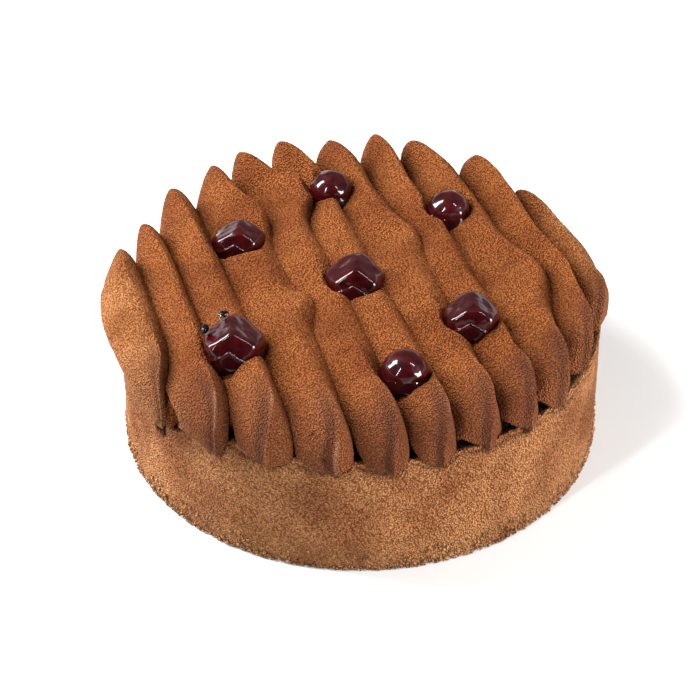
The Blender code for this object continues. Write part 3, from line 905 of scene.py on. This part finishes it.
def cocoa_velvet_material():
    """Cream sprayed with cocoa butter and cocoa, which freezes to a matt velvet of fine droplets.

    The eye sees warm brown with light droplet tops and no gloss. Painted shade darkens the pits between the
    droplets, the groove, the pockets and the pores. The bulbs turn violet-brown, partly the thinner spray's
    own tone and partly painted shade, the keel's streak and the lip carry a painted highlight, and painted
    light makes the left and right sides a paler tan.
    """
    material, tree, shader = new_material("cocoa_velvet_spray", Roughness=0.9, Sheen_Weight=0.03,
                                          Sheen_Roughness=0.6, Sheen_Tint=linear("d9a878"),
                                          Specular_IOR_Level=0.1)
    place = add_node(tree, "ShaderNodeTexCoord").outputs["Object"]
    bulb = marked(tree, "bulb")
    droplets = add_node(tree, "ShaderNodeTexVoronoi", {"feature": "SMOOTH_F1"}, Vector=place,
                        Scale=DROPLETS_PER_METRE, Smoothness=0.1).outputs["Distance"]
    droplets = stretched(tree, droplets, 0.75, 0.12)
    clouds = add_node(tree, "ShaderNodeTexNoise", Vector=place, Scale=42.0, Detail=2.0).outputs["Fac"]
    # painted light: paler tan towards the far left and right
    painted_side_light = marked(tree, "painted_side_light")
    pit_shade_colour = mixed(tree, painted_side_light, linear("57260b"), linear("6c3c1c"))
    droplet_colour = mixed(tree, painted_side_light, linear("c17339"), linear("e09c60"))
    # painted shade: the colour darkens from the droplet tops into the pits, keyed to the bump's relief
    colour = mixed(tree, droplets, pit_shade_colour, droplet_colour)
    # painted shade: the pits cut into the mesh are darkened further
    colour = mixed(tree, times(tree, marked(tree, "pit"), 0.3), colour, linear("45200b"))
    colour = mixed(tree, stretched(tree, clouds, 0.62, 0.34), colour, linear("d8c6b4"), "MULTIPLY")
    # the bulbs turn darker violet-brown: partly the thinner spray's own tone, partly painted shade
    colour = mixed(tree, times(tree, bulb, 0.40), colour, linear("5c3425"))
    # painted shade: the groove left of the keel is darkened
    colour = mixed(tree, times(tree, marked(tree, "groove"), 0.50), colour, linear("38201a"))
    # painted highlight: a pale line down the keel and round the lip
    colour = mixed(tree, times(tree, marked(tree, "streak_and_highlight"), 0.42), colour, linear("a07d6c"))
    # painted shade in the pockets and the pores
    colour = mixed(tree, times(tree, marked(tree, "pocket"), 0.9), colour, linear("1c0d07"))
    tree.links.new(colour, shader.inputs["Base Color"])
    bump = add_node(tree, "ShaderNodeBump", Strength=1.0, Distance=DROPLET_RELIEF * MM, Height=droplets)
    tree.links.new(bump.outputs["Normal"], shader.inputs["Normal"])
    return material


def crumb_coat_material():
    """Fine dry cake crumb pressed into chocolate cream and dusted with cocoa.

    The eye sees a sandy light brown, paler and coarser at the foot, with pits between the crumbs that painted
    shade darkens.
    """
    material, tree, shader = new_material("pressed_cocoa_crumb", Roughness=0.95, Specular_IOR_Level=0.15)
    place = add_node(tree, "ShaderNodeTexCoord").outputs["Object"]
    low = marked(tree, "low")
    crumbs = add_node(tree, "ShaderNodeTexVoronoi", {"feature": "SMOOTH_F1"}, Vector=place,
                      Scale=CRUMBS_PER_METRE, Smoothness=0.2).outputs["Distance"]
    crumbs = stretched(tree, crumbs, 0.75, 0.12)
    clouds = add_node(tree, "ShaderNodeTexNoise", Vector=place, Scale=40.0, Detail=2.0).outputs["Fac"]
    # painted shade: the colour darkens from the crumb tops into the pits, keyed to the bump's relief
    colour = mixed(tree, crumbs, linear("653616"), linear("d59058"))
    # painted shade: the pits cut into the mesh are darkened further
    colour = mixed(tree, times(tree, marked(tree, "pit"), 0.3), colour, linear("4a2814"))
    colour = mixed(tree, times(tree, marked(tree, "speck"), 0.55), colour, linear("e0ac7c"))
    colour = mixed(tree, stretched(tree, clouds, 0.62, 0.34), colour, linear("cdb9ac"), "MULTIPLY")
    colour = mixed(tree, times(tree, low, 0.22), colour, linear("b08055"))
    # painted shade under the cream, in the torn hole and along the seam below the bulbs
    colour = mixed(tree, times(tree, marked(tree, "pocket"), 0.95), colour, linear("1c0d07"))
    tree.links.new(colour, shader.inputs["Base Color"])
    bump = add_node(tree, "ShaderNodeBump", Strength=1.0, Distance=CRUMB_RELIEF * MM, Height=crumbs)
    tree.links.new(bump.outputs["Normal"], shader.inputs["Normal"])
    return material


def cherry_material():
    """A dark preserved cherry under set fruit glaze, poured warm, which gives a wet mirror over deep red."""
    material, tree, shader = new_material("glazed_dark_cherry", Roughness=0.3, Specular_IOR_Level=0.05,
                                          Coat_Weight=0.95, Coat_Roughness=0.015, Coat_IOR=1.4)
    place = add_node(tree, "ShaderNodeTexCoord").outputs["Object"]
    height = marked(tree, "height")
    flesh = add_node(tree, "ShaderNodeTexNoise", Vector=place, Scale=260.0, Detail=3.0).outputs["Fac"]
    skin = mixed(tree, stretched(tree, flesh, 0.35, 0.7), linear("1c0102"), linear("340508"))
    colour = mixed(tree, marked(tree, "collar"), skin, linear("200102"))
    # painted shade: each cherry darkens towards its underside; the nubs take this black as their own colour
    colour = mixed(tree, stretched(tree, height, 0.15, -0.75), colour, linear("050001"))
    tree.links.new(colour, shader.inputs["Base Color"])
    return material


# ---------------------------------------------------------------------------------------------------------
# Studio
# ---------------------------------------------------------------------------------------------------------

def add_floor():
    """A pale round floor, level with the underside, which runs out into the dome's white horizon."""
    turn = np.linspace(0.0, 2.0 * math.pi, FLOOR_CORNERS, endpoint=False)
    corners = FLOOR_RADIUS * np.stack([np.cos(turn), np.sin(turn), 0.0 * turn], axis=-1)
    mesh = bpy.data.meshes.new("floor")
    mesh.from_pydata(corners * MM, [], [tuple(range(FLOOR_CORNERS))])
    material, _, _ = new_material("matt_pale_card", Base_Color=linear("d2d2d1"), Roughness=0.9,
                                  Specular_IOR_Level=0.1)
    mesh.materials.append(material)
    floor = bpy.data.objects.new("floor", mesh)
    bpy.context.scene.collection.objects.link(floor)


def add_light(name, place, aim, width, height, power):
    """A soft rectangular light at place, pointing at aim, in millimetres, with its power in watts."""
    lamp = bpy.data.lights.new(name, "AREA")
    lamp.shape = "RECTANGLE"
    lamp.size = width * MM
    lamp.size_y = height * MM
    lamp.energy = power
    holder = bpy.data.objects.new(name, lamp)
    holder.matrix_world = looking(place, aim)
    bpy.context.scene.collection.objects.link(holder)


def looking(place, aim):
    """The matrix of something at place whose -Z axis points at aim and whose X axis is level."""
    place, aim = Vector(place) * MM, Vector(aim) * MM
    back = (place - aim).normalized()
    right = Vector((0.0, 0.0, 1.0)).cross(back).normalized()
    up = back.cross(right)
    return Matrix.Translation(place) @ Matrix((right, up, back)).transposed().to_4x4()


def add_world(horizon, low, zenith, front):
    """A white studio dome: bright along the horizon, low above it, brighter again towards the zenith.

    Above the horizon it is dimmed in front by 1 - (1 - front) f, where f is a smooth step of the
    direction's forward part.
    """
    world = bpy.data.worlds.new("studio_dome")
    world.use_nodes = True
    tree = world.node_tree
    shade = tree.nodes["Background"]
    direction = add_node(tree, "ShaderNodeTexCoord").outputs["Generated"]
    upward = add_node(tree, "ShaderNodeSeparateXYZ", Vector=direction).outputs["Z"]

    def ramp(value, start, end, first, last):
        """first below start, last above end, and a smooth step between."""
        return add_node(tree, "ShaderNodeMapRange", {"interpolation_type": "SMOOTHSTEP"}, Value=value,
                        From_Min=start, From_Max=end, To_Min=first, To_Max=last).outputs["Result"]

    forward = add_node(tree, "ShaderNodeVectorMath", {"operation": "DOT_PRODUCT"}, i0=direction,
                       i1=tuple(FORWARD)).outputs["Value"]
    above = ramp(upward, 0.35, 0.95, low, zenith)
    level = add_node(tree, "ShaderNodeMath", {"operation": "MULTIPLY"}, i0=above,
                     i1=ramp(forward, 0.05, 0.6, 1.0, front)).outputs["Value"]
    level = add_node(tree, "ShaderNodeMix", {"data_type": "FLOAT"}, i0=ramp(upward, 0.1, 0.15, 1.0, 0.0),
                     i2=level, i3=horizon).outputs[0]
    shade.inputs["Color"].default_value = linear("f8f8fa")
    tree.links.new(level, shade.inputs["Strength"])
    bpy.context.scene.world = world


def add_camera():
    """The camera, level across, aimed at the floor just behind the cake's centre."""
    lens = bpy.data.cameras.new("camera")
    lens.lens = CAMERA_LENS
    lens.sensor_width = CAMERA_SENSOR
    lens.clip_start = 0.05
    lens.clip_end = 20.0
    camera = bpy.data.objects.new("camera", lens)
    camera.matrix_world = looking(CAMERA_PLACE, CAMERA_AIM)
    bpy.context.scene.collection.objects.link(camera)
    bpy.context.scene.camera = camera


# ---------------------------------------------------------------------------------------------------------
# The scene
# ---------------------------------------------------------------------------------------------------------

cream = cocoa_velvet_material()
crumb = crumb_coat_material()
cherry = cherry_material()

bulb_edges = [edge for place, one in enumerate(RIDGES) for edge in add_ridge(place, one, cream)]
add_wall(crumb, bulb_edges)
add_foot_crumbs(crumb)
add_torn_rim(cream, crumb)
for number in ROUND_CHERRIES + CREASED_CHERRIES:
    add_cherry(number, cherry)
add_glaze_nubs(cherry)

add_floor()
add_camera()
add_world(horizon=1.0, low=0.22, zenith=0.28, front=0.15)
for light in LIGHTS:
    add_light(*light)
bpy.context.scene.view_settings.view_transform = "Standard"
